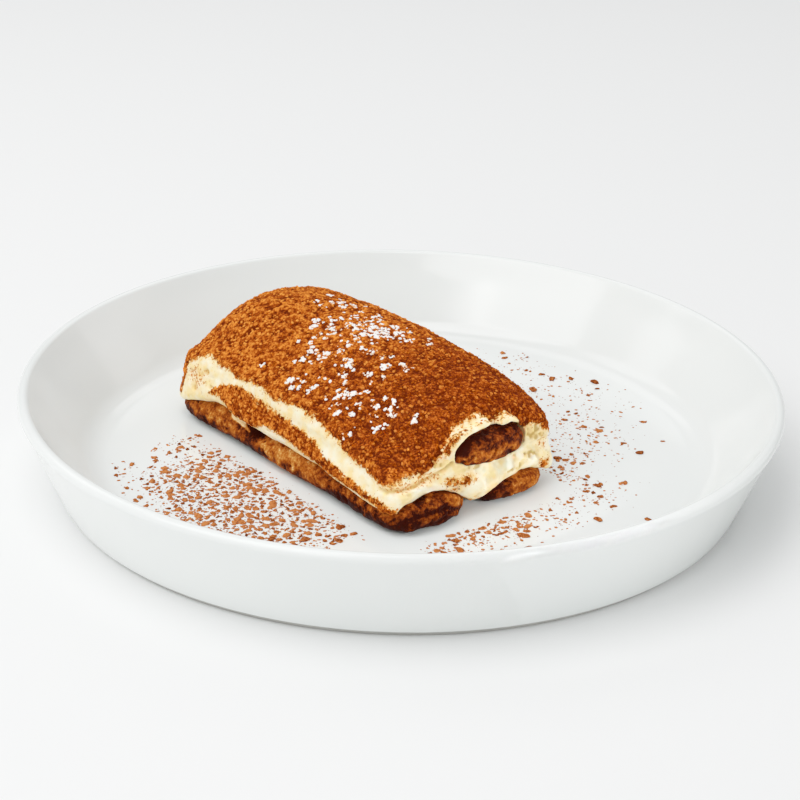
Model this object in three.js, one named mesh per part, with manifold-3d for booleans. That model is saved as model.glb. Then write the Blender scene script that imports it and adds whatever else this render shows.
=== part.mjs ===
// A serving of tiramisu on its round, straight-sided porcelain plate. Millimetres, +Z up.
// The origin is the centre of the plate's foot. +X runs across the slice and +Y along it,
// from the end where the biscuits show to the far end.
import * as THREE from 'three';
import { mergeVertices } from 'three/addons/utils/BufferGeometryUtils.js';
import Module from 'manifold-3d';

// ---- Driving dimensions ----
// The plate stands on a foot ring. Its wall flares straight up from the base to a rounded rim, and
// a wide fillet of part of a circle joins the wall to the flat floor inside.
const PLATE = {
  rimRadius: 115,
  height: 30.2,
  rimWidth: 3.6,
  footOuter: 102.2,
  footInner: 98.2,
  footSlope: 1.4,
  footRound: { out: 1.0, up: 0.8 },
  recess: 1.6,
  baseRadius: 104.3,
  baseZ: 2.2,
  floorZ: 6,
  floorRadius: 89,
  filletRadius: 11,
  filletDegrees: 52,
  segments: 72,
  rimSteps: 4,
  filletSteps: 5,
};

// Where the slice's middle lies on the plate, and the outline of its cream.
const SLICE_PLACE = { x: -9.3, y: 10.7 };
const SLICE = { left: -29.6, right: 31.2, front: -57, far: 57, frontCorner: 6.5, farCorner: 10.5 };
const GAP = 0.3;
const BISCUIT_BASE_Z = PLATE.floorZ + GAP;

// What all three soaked sponge fingers share: their facets, the height of the widest line, the
// roundness of section and tips, and their slight unevenness.
const SPONGE = {
  around: 18,
  middleSteps: 14,
  tipSteps: 5,
  waist: 0.42,
  tipPower: 2.8,
  tipReach: 0.95,
  crownPower: 0.85,
  basePower: 0.45,
  sidePower: 0.75,
  wobble: 0.022,
  wobblePitch: 6.5,
  crownRipple: 0.3,
  crownPitch: 8,
  humpY: 30,
  humpHalf: 15,
  liftLength: 50,
};

// Each finger: the middle of its section, its heights, its tips, and how far its crown humps and
// its far end lifts.
const LOWER_LEFT = {
  x: -16.9, halfWidth: 14.2, base: BISCUIT_BASE_Z, top: 15.9, front: -59.2, far: 55.4, tip: 9.5,
  farTip: 15, hump: 1.8, lift: 0,
};
const LOWER_RIGHT = {
  x: 15.0, halfWidth: 13.9, base: BISCUIT_BASE_Z, top: 13.8, front: -58.2, far: 55.8, tip: 10,
  farTip: 12, hump: 0.8, lift: 0,
};
const UPPER = {
  x: 6.0, halfWidth: 14.1, base: 20.2, top: 30.0, front: -58.6, far: 52.0, tip: 7.5,
  farTip: 10, hump: 0, lift: 3.4,
};

// The seam between the two layers of cream: its heights, and where it rises and dips.
const SEAM = {
  frontLeftZ: 19.6,
  frontZ: 21.4,
  leftEnds: -15,
  frontBegins: -6,
  middleZ: 24.6,
  middleBegins: -12,
  farDrop: 6,
  farBegins: 36,
};

// The lower edge of the middle cream, which arches over each lower finger's end, hangs in the
// valley between them and bulges out along the sides.
const LIP = {
  valleyZ: 10.2,
  leftArch: { rise: 7.3, x: -19, half: 17 },
  rightArch: { rise: 4.8, x: 16, half: 15 },
  hiddenZ: 12,
  sideFrontZ: 12.3,
  sideZ: 16,
  sideArch: { rise: 2.6, y: 28, half: 9 },
  sideFarDrop: 5,
  sideFar: { from: 34, to: 54 },
  edgeInset: 0.4,
  bulge: 1.9,
  underside: { drop: 1.4, reach: 8 },
};

// How far back the creams stand over the fingers' ends: the middle cream over the two lower ones,
// and the coat over the upper one and at its own sagging left corner.
const MIDDLE_RECESS = [{ depth: 2.8, x: -19, half: 15 }, { depth: 1.6, x: 21, half: 11 }];
const COAT_RECESS = [{ depth: 2.8, x: -20, half: 15 }, { depth: 2.4, x: 6, half: 17 }];
const RECESS_BEGINS = -30;

// The upper coat of cream: a low left shoulder, a crest right of the middle, a steep right side.
const COAT = {
  shoulderZ: 28.9,
  shoulderDrop: 8.6,
  crestX: 8,
  crestShift: 9,
  crestZ: 42.3,
  crestRise: 1.2,
  crestDrop: 7.4,
  rightZ: 23.5,
  leftPower: 1.75,
  rightPower: { front: 3, far: 2.5 },
  farRound: { left: 36, crest: 25 },
  farPower: { left: 2.1, crest: 3 },
  frontSlope: { from: 10, power: 2 },
  farSlope: { from: 10, to: 45 },
  leftSag: { depth: 3, x: -18, half: 12, from: -40, to: -55 },
  rightSag: { depth: 3, fromX: 16, toX: 31, from: -36, to: -56 },
  frontRoll: { left: 1, right: 4, leftEnds: -14, rightBegins: -4, y: -46, length: 9.5 },
  ripple: { height: 0.3, acrossPitch: 4.1, alongPitch: 6.3, skewAlong: 9, skewAcross: 11 },
  leastThickness: 1.1,
  topInset: 1.7,
  wallPower: 1.6,
};

// Cells of each layer's skin, how much their lines crowd to the edges, and rows of cells in its
// side.
const GRID = { across: 13, along: 22, crowding: 0.45, middleRows: 5, coatRows: 4 };

// Clumps of cocoa on the plate's floor. They lie thickest in drifts, each a sector about one point
// or, beside the slice, a band.
const CLUMPS = { count: 60, seed: 11, smallest: 0.9, largest: 1.7, reach: 86, clearance: 7 };
const DRIFT_CENTRE = { x: -5, y: -20 };
const LEFT_DRIFT = { share: 1, angle: -2.6, half: 0.95 };
const FRONT_DRIFT = { share: 0.7, angle: -1.0, half: 0.9 };
const RIGHT_DRIFT = { share: 0.35, fromX: 30, y: 5, half: 60 };

// Lumps of sugar on the coat, along a line across its left shoulder, and how far they stray.
const FLECKS = { count: 24, seed: 5, smallest: 0.75, largest: 1.25, spread: 26 };
const FLECK_LINE = { x: [13, -20], y: [12, -34], strayX: 0.55, strayY: 0.8 };

// A lump's length, width and height for a size of 1, and how far up its middle lies.
const LUMP = { length: [1.0, 1.7], width: [0.7, 1.0], height: [0.45, 0.6], rise: 0.12, turn: 3 };

// ---- Curves that the shapes share ----
const clamp = (t, low, high) => Math.min(high, Math.max(low, t));
const mix = (a, b, t) => a + (b - a) * t;

function smooth(from, to, value) {
  const t = clamp((value - from) / (to - from), 0, 1);
  return t * t * (3 - 2 * t);
}

// One arch of height 1 centred on `middle`, down to 0 at `half` either side.
function arch(value, middle, half) {
  const t = Math.abs(value - middle) / half;
  return t < 1 ? Math.cos((Math.PI / 2) * t) : 0;
}

// A quarter of a superellipse: 1 at t = 0, falling to 0 at t = 1.
function shoulder(t, power) {
  return Math.pow(1 - Math.pow(clamp(t, 0, 1), power), 1 / power);
}

function signedPower(value, power) {
  return Math.sign(value) * Math.pow(Math.abs(value), power);
}

// The same draws each time for one seed.
function randomFrom(seed) {
  let state = seed * 7919 + 17;
  return () => {
    state = (state * 48271) % 2147483647;
    return state / 2147483647;
  };
}

// ---- Closed surfaces ----
function closedGeometry(points, triangles) {
  const geometry = new THREE.BufferGeometry();
  geometry.setAttribute('position', new THREE.Float32BufferAttribute(points.flat(), 3));
  geometry.setIndex(triangles);
  return geometry;
}

// Rings of equal length, each anticlockwise seen from the first tip, joined and capped by two tips.
function ringedBody(rings, firstTip, lastTip) {
  const count = rings[0].length;
  const points = [...rings.flat(), firstTip, lastTip];
  const first = points.length - 2;
  const last = points.length - 1;
  const triangles = [];
  for (let ring = 0; ring + 1 < rings.length; ring++) {
    for (let i = 0; i < count; i++) {
      const a = ring * count + i;
      const b = ring * count + ((i + 1) % count);
      triangles.push(a, b + count, b, a, a + count, b + count);
    }
  }
  const end = (rings.length - 1) * count;
  for (let i = 0; i < count; i++) {
    const next = (i + 1) % count;
    triangles.push(first, i, next);
    triangles.push(last, end + next, end + i);
  }
  return closedGeometry(points, triangles);
}

// A point of the slice's plan: u across and v along, each -1 to 1, on a rectangle whose corners
// are rounded. `spread` moves the outline outwards, and `recess(x)` moves the front end back.
function planPoint(u, v, spread, recess) {
  const halfWidth = (SLICE.right - SLICE.left) / 2 + spread;
  const halfLength = (SLICE.far - SLICE.front) / 2 + spread;
  const radius = (v < 0 ? SLICE.frontCorner : SLICE.farCorner) + spread;
  const x = halfWidth * u;
  const y = halfLength * v;
  const coreX = clamp(x, radius - halfWidth, halfWidth - radius);
  const coreY = clamp(y, radius - halfLength, halfLength - radius);
  const dx = x - coreX;
  const dy = y - coreY;
  const length = Math.hypot(dx, dy);
  const keep = length > 0 ? Math.max(Math.abs(dx), Math.abs(dy)) / length : 1;
  const plan = {
    x: coreX + dx * keep + (SLICE.right + SLICE.left) / 2,
    y: coreY + dy * keep + (SLICE.far + SLICE.front) / 2,
  };
  plan.y += recess(plan.x) * smooth(RECESS_BEGINS, SLICE.front, plan.y);
  return plan;
}

function recessFrom(hollows) {
  return (x) => hollows.reduce((sum, { depth, x: middle, half }) => (
    sum + depth * arch(x, middle, half)), 0);
}

const middleRecess = recessFrom(MIDDLE_RECESS);
const coatRecess = recessFrom(COAT_RECESS);

// Grid lines crowd towards both edges, where the surface turns.
function gridLines(cells) {
  return Array.from({ length: cells + 1 }, (_, i) => {
    const t = (2 * i) / cells - 1;
    return mix(t, Math.sin((Math.PI / 2) * t), GRID.crowding);
  });
}

// A closed layer over the slice's plan: upper(u, v) and lower(u, v) are its two skins and
// wall(u, v, t) its side, from the upper edge at t = 0 to the lower edge at t = 1.
function layerBody(upper, wall, lower, wallRows) {
  const across = gridLines(GRID.across);
  const along = gridLines(GRID.along);
  const columns = across.length;
  const points = [];
  for (const skin of [upper, lower]) {
    for (const v of along) {
      for (const u of across) points.push(skin(u, v));
    }
  }
  const skinSize = columns * along.length;
  const triangles = [];
  for (let j = 0; j + 1 < along.length; j++) {
    for (let i = 0; i + 1 < columns; i++) {
      const a = j * columns + i;
      const d = a + columns;
      triangles.push(a, a + 1, d + 1, a, d + 1, d);
      const low = a + skinSize;
      const lowFar = d + skinSize;
      triangles.push(low, lowFar + 1, low + 1, low, lowFar, lowFar + 1);
    }
  }
  const edge = [];
  for (let i = 0; i + 1 < columns; i++) edge.push([i, 0]);
  for (let j = 0; j + 1 < along.length; j++) edge.push([columns - 1, j]);
  for (let i = columns - 1; i > 0; i--) edge.push([i, along.length - 1]);
  for (let j = along.length - 1; j > 0; j--) edge.push([0, j]);
  let above = edge.map(([i, j]) => j * columns + i);
  for (let row = 1; row <= wallRows; row++) {
    const below = edge.map(([i, j]) => {
      if (row === wallRows) return skinSize + j * columns + i;
      return points.push(wall(across[i], along[j], row / wallRows)) - 1;
    });
    for (let k = 0; k < edge.length; k++) {
      const n = (k + 1) % edge.length;
      triangles.push(above[k], below[k], below[n], above[k], below[n], above[n]);
    }
    above = below;
  }
  return closedGeometry(points, triangles);
}

// ---- Joining and cutting ----
const wasm = await Module();
wasm.setup();

function toSolid(geometry) {
  const bare = geometry.clone();
  bare.deleteAttribute('normal');
  bare.deleteAttribute('uv');
  const merged = mergeVertices(bare, 1e-4);
  return new wasm.Manifold(new wasm.Mesh({
    numProp: 3,
    vertProperties: merged.attributes.position.array,
    triVerts: new Uint32Array(merged.index.array),
  }));
}

function toGeometry(solid) {
  const mesh = solid.getMesh();
  const geometry = new THREE.BufferGeometry();
  geometry.setAttribute('position', new THREE.BufferAttribute(mesh.vertProperties, 3));
  geometry.setIndex(new THREE.BufferAttribute(mesh.triVerts, 1));
  geometry.computeVertexNormals();
  return geometry;
}

function largestBody(solid) {
  const bodies = solid.decompose();
  return bodies.reduce((best, body) => (body.volume() > best.volume() ? body : best));
}

// ---- The plate ----
// Half of its section, from the middle of the underside, out round the rim and in along the floor.
function plateProfile() {
  const {
    rimRadius, height, footOuter, footInner, footRound, recess, floorZ, filletRadius, filletSteps,
  } = PLATE;
  const profile = [];
  const add = (r, z) => profile.push(new THREE.Vector2(r, z));
  add(0, recess);
  add(footInner - PLATE.footSlope, recess);
  add(footInner, 0);
  add(footOuter, 0);
  add(footOuter + footRound.out, footRound.up);
  add(PLATE.baseRadius, PLATE.baseZ);
  const lip = PLATE.rimWidth / 2;
  for (let step = 0; step <= PLATE.rimSteps; step++) {
    const angle = (Math.PI * step) / PLATE.rimSteps;
    add(rimRadius - lip + lip * Math.cos(angle), height - lip + lip * Math.sin(angle));
  }
  const wallAngle = THREE.MathUtils.degToRad(PLATE.filletDegrees);
  for (let step = 0; step <= filletSteps; step++) {
    const angle = wallAngle * (1 - step / filletSteps);
    add(
      PLATE.floorRadius + filletRadius * Math.sin(angle),
      floorZ + filletRadius * (1 - Math.cos(angle)),
    );
  }
  add(0, floorZ);
  return profile;
}

// An uneven little lump, half sunk in what it lies on.
function lump(x, y, z, size, draw) {
  const shape = new THREE.IcosahedronGeometry(1, 0);
  const between = ([low, high]) => size * mix(low, high, draw());
  shape.rotateX(draw() * LUMP.turn);
  shape.scale(between(LUMP.length), between(LUMP.width), between(LUMP.height));
  shape.rotateZ(draw() * Math.PI);
  shape.translate(x, y, z + size * LUMP.rise);
  return shape;
}

// How thickly cocoa lies on the plate's floor, 0 to 1: most left of the slice and in front of it.
function cocoaDensity(x, y) {
  const angle = Math.atan2(y - DRIFT_CENTRE.y, x - DRIFT_CENTRE.x);
  const left = LEFT_DRIFT.share * arch(angle, LEFT_DRIFT.angle, LEFT_DRIFT.half);
  const front = FRONT_DRIFT.share * arch(angle, FRONT_DRIFT.angle, FRONT_DRIFT.half);
  const right = x > RIGHT_DRIFT.fromX
    ? RIGHT_DRIFT.share * arch(y, RIGHT_DRIFT.y, RIGHT_DRIFT.half)
    : 0;
  return Math.max(left, front, right);
}

function clearOfSlice(x, y, margin) {
  const cx = x - SLICE_PLACE.x;
  const cy = y - SLICE_PLACE.y;
  const inX = cx > SLICE.left - margin && cx < SLICE.right + margin;
  return !(inX && cy > SLICE.front - margin && cy < SLICE.far + margin);
}

function plate() {
  const turned = new THREE.LatheGeometry(plateProfile(), PLATE.segments);
  turned.rotateX(Math.PI / 2);
  let solid = toSolid(turned);
  const draw = randomFrom(CLUMPS.seed);
  let placed = 0;
  while (placed < CLUMPS.count) {
    const radius = CLUMPS.reach * Math.sqrt(draw());
    const angle = 2 * Math.PI * draw();
    const x = radius * Math.cos(angle);
    const y = radius * Math.sin(angle);
    if (!clearOfSlice(x, y, CLUMPS.clearance) || draw() > cocoaDensity(x, y)) continue;
    const size = mix(CLUMPS.smallest, CLUMPS.largest, draw() ** 2);
    solid = solid.add(toSolid(lump(x, y, PLATE.floorZ, size, draw)));
    placed++;
  }
  return toGeometry(solid);
}

// ---- Sponge fingers ----
// A rod with a flat base, a domed top and blunt tips. `grow` swells it, to cut its seat.
function sponge(finger, grow = 0) {
  const { around, middleSteps, tipSteps } = SPONGE;
  const start = finger.front + finger.tip;
  const end = finger.far - finger.farTip;
  const tips = Array.from({ length: tipSteps }, (_, i) => {
    const reach = Math.sin((Math.PI / 2) * SPONGE.tipReach * (1 - i / tipSteps));
    return { reach, swell: shoulder(reach, SPONGE.tipPower) };
  });
  const stations = [
    ...tips.map(({ reach, swell }) => ({ y: start - (finger.tip + grow) * reach, swell })),
    ...Array.from({ length: middleSteps + 1 }, (_, i) => (
      { y: mix(start, end, i / middleSteps), swell: 1 })),
    ...tips.reverse().map(({ reach, swell }) => (
      { y: end + (finger.farTip + grow) * reach, swell })),
  ];
  const waist = mix(finger.base, finger.top, SPONGE.waist);
  const rings = stations.map(({ y, swell }) => {
    const wobble = 1 + SPONGE.wobble * Math.sin(y / SPONGE.wobblePitch + finger.x);
    const ripple = SPONGE.crownRipple * Math.sin(y / SPONGE.crownPitch - finger.x);
    const crown = finger.top + finger.hump * arch(y, SPONGE.humpY, SPONGE.humpHalf) + ripple;
    const halfWidth = (finger.halfWidth * wobble + grow) * swell;
    const up = (crown - waist + grow) * swell;
    const down = (waist - finger.base + grow) * Math.sqrt(swell);
    const lift = finger.lift * smooth(finger.front, finger.front + SPONGE.liftLength, y);
    return Array.from({ length: around }, (_, i) => {
      const angle = (2 * Math.PI * i) / around;
      const x = halfWidth * signedPower(Math.cos(angle), SPONGE.sidePower);
      const height = Math.sin(angle);
      const z = height > 0 ? up * height ** SPONGE.crownPower : -down * (-height) ** SPONGE.basePower;
      return [finger.x + x, y, waist + lift + z];
    });
  });
  return ringedBody(
    rings,
    [finger.x, finger.front - grow, waist],
    [finger.x, finger.far + grow, waist + finger.lift],
  );
}

// ---- The two layers of cream ----
// The seam between the layers, which rises from the front and dips at the far end.
function seamZ(x, y) {
  const frontZ = mix(SEAM.frontLeftZ, SEAM.frontZ, smooth(SEAM.leftEnds, SEAM.frontBegins, x));
  const rise = mix(frontZ, SEAM.middleZ, smooth(SLICE.front, SEAM.middleBegins, y));
  return rise - SEAM.farDrop * smooth(SEAM.farBegins, SLICE.far, y);
}

// The lowest edge of the middle cream where it laps over the biscuits' sides and ends.
function lipZ(u, x, y) {
  const { leftArch, rightArch, sideArch, sideFar } = LIP;
  if (u > -1 && y < 0) {
    const overLeft = leftArch.rise * arch(x, leftArch.x, leftArch.half);
    const overRight = rightArch.rise * arch(x, rightArch.x, rightArch.half);
    return LIP.valleyZ + overLeft + overRight;
  }
  if (u > -1) return LIP.hiddenZ;
  const alongSide = mix(LIP.sideFrontZ, LIP.sideZ, smooth(SLICE.front, SEAM.middleBegins, y));
  const overHump = sideArch.rise * arch(y, sideArch.y, sideArch.half);
  return alongSide + overHump - LIP.sideFarDrop * smooth(sideFar.from, sideFar.to, y);
}

// How far a point of the plan lies inside the middle cream's outline.
function insetOf(x, y) {
  const fromFront = y - SLICE.front - middleRecess(x);
  return Math.min(x - SLICE.left, SLICE.right - x, SLICE.far - y, fromFront);
}

function middleCream() {
  const widestAt = 0.85;
  const lipShare = 0.7;
  const upper = (u, v) => {
    const { x, y } = planPoint(u, v, -LIP.edgeInset, middleRecess);
    return [x, y, seamZ(x, y)];
  };
  const lower = (u, v) => {
    const onEdge = Math.abs(u) === 1 || Math.abs(v) === 1;
    const { x, y } = planPoint(u, v, onEdge ? LIP.bulge * lipShare : 0, middleRecess);
    if (onEdge) return [x, y, lipZ(u, x, y)];
    const nearestLip = lipZ(u < -0.5 ? -1 : 0, x, y);
    const underZ = LIP.valleyZ - LIP.underside.drop;
    return [x, y, mix(nearestLip, underZ, smooth(0, LIP.underside.reach, insetOf(x, y)))];
  };
  const wall = (u, v, t) => {
    const spread = mix(-LIP.edgeInset, LIP.bulge, smooth(0, widestAt, t));
    const { x, y } = planPoint(u, v, spread, middleRecess);
    return [x, y, mix(seamZ(x, y), lipZ(u, x, y), t)];
  };
  return layerBody(upper, wall, lower, GRID.middleRows);
}

// Keeps the coat's rounded edges from ending in a sheer drop at the very edge of the plan.
const EDGE_MARGIN = 0.5;

// The height of the upper coat's skin over a point of the plan.
function coatZ(x, y) {
  const { frontSlope, farSlope, leftSag, rightSag, frontRoll, ripple } = COAT;
  const frontShare = clamp((frontSlope.from - y) / (frontSlope.from - SLICE.front), 0, 1);
  const towardsFront = frontShare ** frontSlope.power;
  const towardsFar = smooth(farSlope.from, farSlope.to, y);
  const shoulderZ = COAT.shoulderZ - COAT.shoulderDrop * towardsFront;
  const crestZ = COAT.crestZ - COAT.crestDrop * towardsFront + COAT.crestRise * towardsFar;
  const crestX = COAT.crestX - COAT.crestShift * towardsFar;
  let z = crestZ;
  if (x < crestX) {
    const t = clamp((x - SLICE.left) / (crestX - SLICE.left), 0, 1);
    z = mix(shoulderZ, crestZ, 1 - (1 - t) ** COAT.leftPower);
  } else {
    const t = (x - crestX) / (SLICE.right + EDGE_MARGIN - crestX);
    const power = mix(COAT.rightPower.front, COAT.rightPower.far, towardsFar);
    z = mix(COAT.rightZ, crestZ, shoulder(t, power));
  }
  const inward = smooth(SLICE.left, crestX, x);
  const round = mix(COAT.farRound.left, COAT.farRound.crest, inward);
  const farPower = mix(COAT.farPower.left, COAT.farPower.crest, inward);
  const farShare = shoulder((y - SLICE.far + round) / (round + EDGE_MARGIN), farPower);
  z = mix(SEAM.middleZ - SEAM.farDrop, z, farShare);
  z -= leftSag.depth * arch(x, leftSag.x, leftSag.half) * smooth(leftSag.from, leftSag.to, y);
  z -= rightSag.depth * smooth(rightSag.fromX, rightSag.toX, x)
    * smooth(rightSag.from, rightSag.to, y);
  const rollDepth = mix(
    frontRoll.left, frontRoll.right, smooth(frontRoll.leftEnds, frontRoll.rightBegins, x));
  z -= rollDepth * (1 - shoulder((frontRoll.y - y) / frontRoll.length, 2));
  z += ripple.height * Math.sin(x / ripple.acrossPitch + y / ripple.skewAlong)
    * Math.sin(y / ripple.alongPitch - x / ripple.skewAcross);
  return Math.max(z, seamZ(x, y) + GAP + COAT.leastThickness);
}

function coatCream() {
  const upper = (u, v) => {
    const { x, y } = planPoint(u, v, -COAT.topInset, coatRecess);
    return [x, y, coatZ(x, y)];
  };
  const lower = (u, v) => {
    const { x, y } = planPoint(u, v, 0, coatRecess);
    return [x, y, seamZ(x, y) + GAP];
  };
  const wall = (u, v, t) => {
    const { x, y } = planPoint(u, v, -COAT.topInset * (1 - t) ** COAT.wallPower, coatRecess);
    return [x, y, mix(coatZ(x, y), seamZ(x, y) + GAP, t)];
  };
  return layerBody(upper, wall, lower, GRID.coatRows);
}

// Lumps of sugar lie across the coat in a loose diagonal drift.
function withSugar(solid) {
  const draw = randomFrom(FLECKS.seed);
  let dressed = solid;
  for (let placed = 0; placed < FLECKS.count; placed++) {
    const along = draw();
    const stray = (draw() - 0.5) * FLECKS.spread;
    const x = mix(...FLECK_LINE.x, along) + stray * FLECK_LINE.strayX;
    const y = mix(...FLECK_LINE.y, along) - stray * FLECK_LINE.strayY;
    const size = mix(FLECKS.smallest, FLECKS.largest, draw() ** 2);
    dressed = dressed.add(toSolid(lump(x, y, coatZ(x, y), size, draw)));
  }
  return dressed;
}

// ---- Finishes ----
function finish(color, roughness) {
  return new THREE.MeshStandardMaterial({ color, roughness, metalness: 0 });
}

const porcelain = finish(0xe9eceb, 0.15);
const cocoaOnCream = finish(0x9a4a1c, 0.95);
const cream = finish(0xf6ecc8, 0.5);
const soakedSponge = finish(0x7a4620, 0.8);

// ---- Assembly ----
const seats = [LOWER_LEFT, LOWER_RIGHT, UPPER].map((finger) => toSolid(sponge(finger, GAP)));
const middleSolid = seats.reduce((solid, seat) => solid.subtract(seat), toSolid(middleCream()));
const coatSolid = withSugar(toSolid(coatCream()).subtract(seats[2]));

const tiramisu = new THREE.Group();
const slice = new THREE.Group();
slice.position.set(SLICE_PLACE.x, SLICE_PLACE.y, 0);
tiramisu.add(slice);

function place(parent, name, geometry, material) {
  const mesh = new THREE.Mesh(geometry, material);
  mesh.name = name;
  parent.add(mesh);
}

place(tiramisu, 'plate', plate(), porcelain);
place(slice, 'ladyfinger_bottom_left', sponge(LOWER_LEFT), soakedSponge);
place(slice, 'ladyfinger_bottom_right', sponge(LOWER_RIGHT), soakedSponge);
place(slice, 'ladyfinger_top', sponge(UPPER), soakedSponge);
place(slice, 'cream_middle', toGeometry(largestBody(middleSolid)), cream);
place(slice, 'cream_top', toGeometry(largestBody(coatSolid)), cocoaOnCream);

export default tiramisu;
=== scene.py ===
# A serving of tiramisu on its porcelain plate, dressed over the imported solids. Metres, +Z up.
import math

import bmesh
import bpy
import numpy as np
from mathutils import Matrix, Vector
from mathutils.kdtree import KDTree


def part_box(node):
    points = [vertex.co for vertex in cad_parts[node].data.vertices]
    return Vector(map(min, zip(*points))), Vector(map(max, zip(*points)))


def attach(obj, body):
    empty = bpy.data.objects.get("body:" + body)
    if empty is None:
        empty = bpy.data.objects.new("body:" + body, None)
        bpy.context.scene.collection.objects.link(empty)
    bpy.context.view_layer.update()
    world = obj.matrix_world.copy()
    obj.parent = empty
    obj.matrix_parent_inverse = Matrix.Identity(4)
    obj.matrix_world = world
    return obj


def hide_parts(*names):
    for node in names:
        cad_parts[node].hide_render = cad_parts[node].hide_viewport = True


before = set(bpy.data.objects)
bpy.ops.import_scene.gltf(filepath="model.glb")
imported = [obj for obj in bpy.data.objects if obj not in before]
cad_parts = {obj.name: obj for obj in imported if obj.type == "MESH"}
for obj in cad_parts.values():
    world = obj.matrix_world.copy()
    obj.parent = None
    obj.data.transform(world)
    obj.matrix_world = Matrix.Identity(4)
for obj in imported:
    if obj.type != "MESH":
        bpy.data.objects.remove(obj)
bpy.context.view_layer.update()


# ---- Plate ----
# A round, straight-sided porcelain plate. It is turned in one piece on a narrow foot ring, dipped
# in a clear glaze over a cool white body, and fired standing on that ring.
MM = 0.001
_, plate_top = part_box("plate")
RIM_RADIUS = plate_top.x / MM
PLATE_HEIGHT = 30.2
RIM_WIDTH = 3.6
FOOT_INNER, FOOT_OUTER, FOOT_RECESS = 98.2, 102.2, 1.6
FOOT_ROUND_IN, FOOT_ROUND_OUT, BASE_ROUND = 0.6, 0.5, 0.75
BASE_RADIUS, BASE_Z = 104.3, 2.2
WALL_TOP_Z = 27.4
FLOOR_Z, FLOOR_RADIUS, FILLET_RADIUS, FILLET_DEGREES = 6.0, 89.0, 11.0, 52.0
INNER_RING, OUTER_RING = 30, 60
SMALL_ARC, LARGE_ARC = 4, 14
PLATE_SEGMENTS = 240


def plate_section():
    """Half of the plate's section, (radius, z) in mm, from under its middle round to its floor."""
    lip = RIM_WIDTH / 2
    fillet = math.radians(FILLET_DEGREES)
    points = [(0, FOOT_RECESS), (OUTER_RING, FOOT_RECESS), (FOOT_INNER - 2.2, FOOT_RECESS)]
    points += arc(FOOT_INNER + FOOT_ROUND_IN, FOOT_ROUND_IN, FOOT_ROUND_IN, 200, 270, SMALL_ARC)
    points += arc(FOOT_OUTER - FOOT_ROUND_OUT, FOOT_ROUND_OUT, FOOT_ROUND_OUT, 270, 340, SMALL_ARC)
    points += [(FOOT_OUTER + 0.1, 1.0), (FOOT_OUTER + 0.5, 1.5)]
    points += arc(BASE_RADIUS - 0.6, BASE_Z + 0.5, BASE_ROUND, 265, 335, SMALL_ARC)
    points += [(BASE_RADIUS + 0.6, 4.0), (BASE_RADIUS + 4.8, 14.2), (RIM_RADIUS - 0.6, 26.9)]
    points += arc(RIM_RADIUS - lip, PLATE_HEIGHT - lip, lip, -20, 145, LARGE_ARC)
    wall_top = RIM_RADIUS - RIM_WIDTH - 0.5
    wall_foot = FLOOR_RADIUS + FILLET_RADIUS * math.sin(fillet)
    wall_foot_z = FLOOR_Z + FILLET_RADIUS * (1 - math.cos(fillet))
    for share in (0.06, 0.35, 0.65, 0.94):
        points.append((wall_top + (wall_foot - wall_top) * share,
                       WALL_TOP_Z + (wall_foot_z - WALL_TOP_Z) * share))
    points += arc(FLOOR_RADIUS, FLOOR_Z + FILLET_RADIUS, FILLET_RADIUS,
                  FILLET_DEGREES - 90, -90, LARGE_ARC)
    points += [(r, FLOOR_Z) for r in (FLOOR_RADIUS - 2.0, OUTER_RING, INNER_RING, 0)]
    return points


def arc(middle_r, middle_z, radius, start, end, steps):
    """Points of an arc in the section's plane, from one angle in degrees to the other."""
    turns = np.radians(np.linspace(start, end, steps + 1))
    return [(middle_r + radius * math.cos(t), middle_z + radius * math.sin(t)) for t in turns]


def in_scene(name, data):
    """A new object of some data, linked to the scene."""
    made = bpy.data.objects.new(name, data)
    bpy.context.scene.collection.objects.link(made)
    return made


def new_piece(name, points, faces):
    """A mesh object of points in mm, with smooth faces."""
    mesh = bpy.data.meshes.new(name)
    mesh.from_pydata([Vector(p) * MM for p in points], [], faces)
    mesh.update()
    mesh.shade_smooth()
    return in_scene(name, mesh)


def turned(name, section, segments):
    """A closed piece turned round the Z axis from a section that starts and ends on the axis."""
    rings = section[1:-1]
    points = [(0, 0, section[0][1]), (0, 0, section[-1][1])]
    first = len(points)
    last = first + (len(rings) - 1) * segments
    for r, z in rings:
        for step in range(segments):
            turn = 2 * math.pi * step / segments
            points.append((r * math.cos(turn), r * math.sin(turn), z))
    faces = []
    for step in range(segments):
        after = (step + 1) % segments
        faces.append((0, first + after, first + step))
        faces.append((1, last + step, last + after))
        for here in range(first, last, segments):
            above = here + segments
            faces.append((here + step, here + after, above + after, above + step))
    return new_piece(name, points, faces)


def new_finish(name):
    """A new material, its empty node tree, and that tree's socket for places on the object."""
    finish = bpy.data.materials.new(name)
    finish.use_nodes = True
    finish.node_tree.nodes.clear()
    place = add(finish.node_tree, "ShaderNodeTexCoord").outputs["Object"]
    return finish, finish.node_tree, place


def add(tree, kind, inputs=None, **settings):
    """A node of a tree, with its settings, and its sockets set to values or linked to sockets.
    The helpers below know their tree from the socket that they are given first."""
    made = tree.nodes.new(kind)
    for key, value in settings.items():
        setattr(made, key, value)
    for socket, value in (inputs or {}).items():
        if isinstance(value, bpy.types.NodeSocket):
            tree.links.new(value, made.inputs[socket])
        else:
            made.inputs[socket].default_value = value
    return made


def ramp(factor, stops):
    """A colour ramp over a factor; each stop is (position, colour). Returns its colour socket."""
    made = add(factor.id_data, "ShaderNodeValToRGB", {"Fac": factor})
    elements = made.color_ramp.elements
    while len(elements) < len(stops):
        elements.new(0.5)
    for element, (position, colour) in zip(elements, stops):
        element.position = position
        element.color = (*colour, 1)
    return made.outputs["Color"]


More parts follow.
